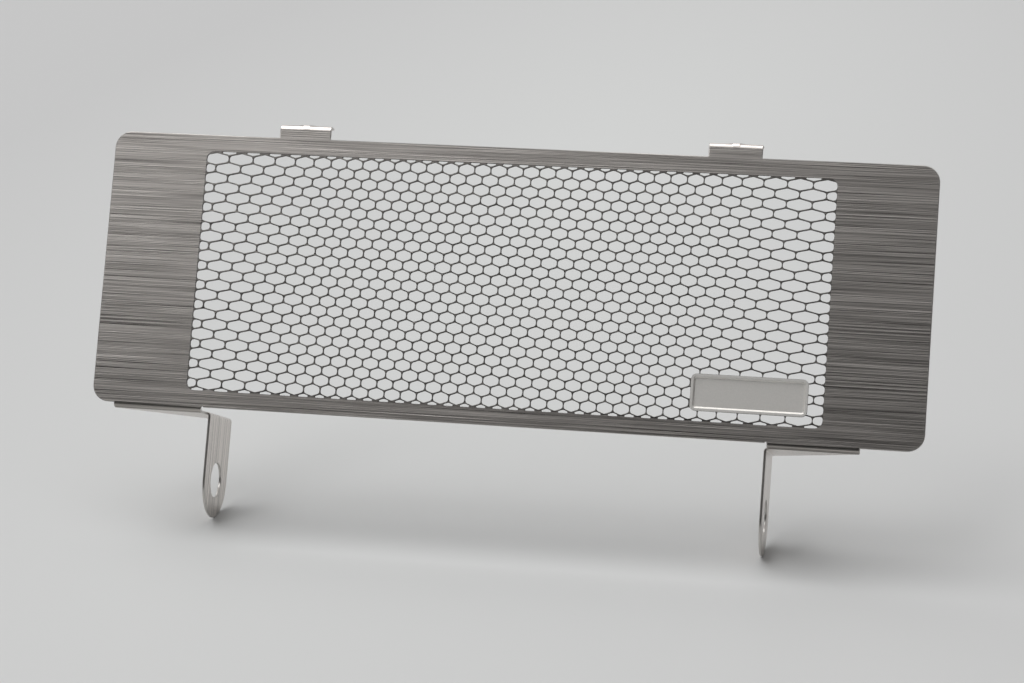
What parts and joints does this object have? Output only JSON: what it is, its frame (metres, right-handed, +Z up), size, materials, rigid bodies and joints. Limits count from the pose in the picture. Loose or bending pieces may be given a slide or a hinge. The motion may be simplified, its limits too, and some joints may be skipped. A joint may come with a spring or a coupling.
{
  "type": "oil cooler guard",
  "caption": "Stainless guard plate with a fine honeycomb grille, hooks folded over its top edge and slanted flanges with eyed legs folded below it.",
  "frame": {"origin": "on the common axis of the two leg eyes, at the middle of the panel's width", "axes": "+X along the eyes' axis and the panel's width, to the right as seen from the front; +Y back from the panel towards the cooler; +Z up. The panel leans back 23.5 degrees, as it is set up in the picture."},
  "size_m": [0.25, 0.0417, 0.1177],
  "materials": {
    "brushed_stainless": "brushed along the panel's length"
  },
  "bodies": {
    "root": {"guard_sheet": "brushed_stainless"}
  },
  "joints": []
}
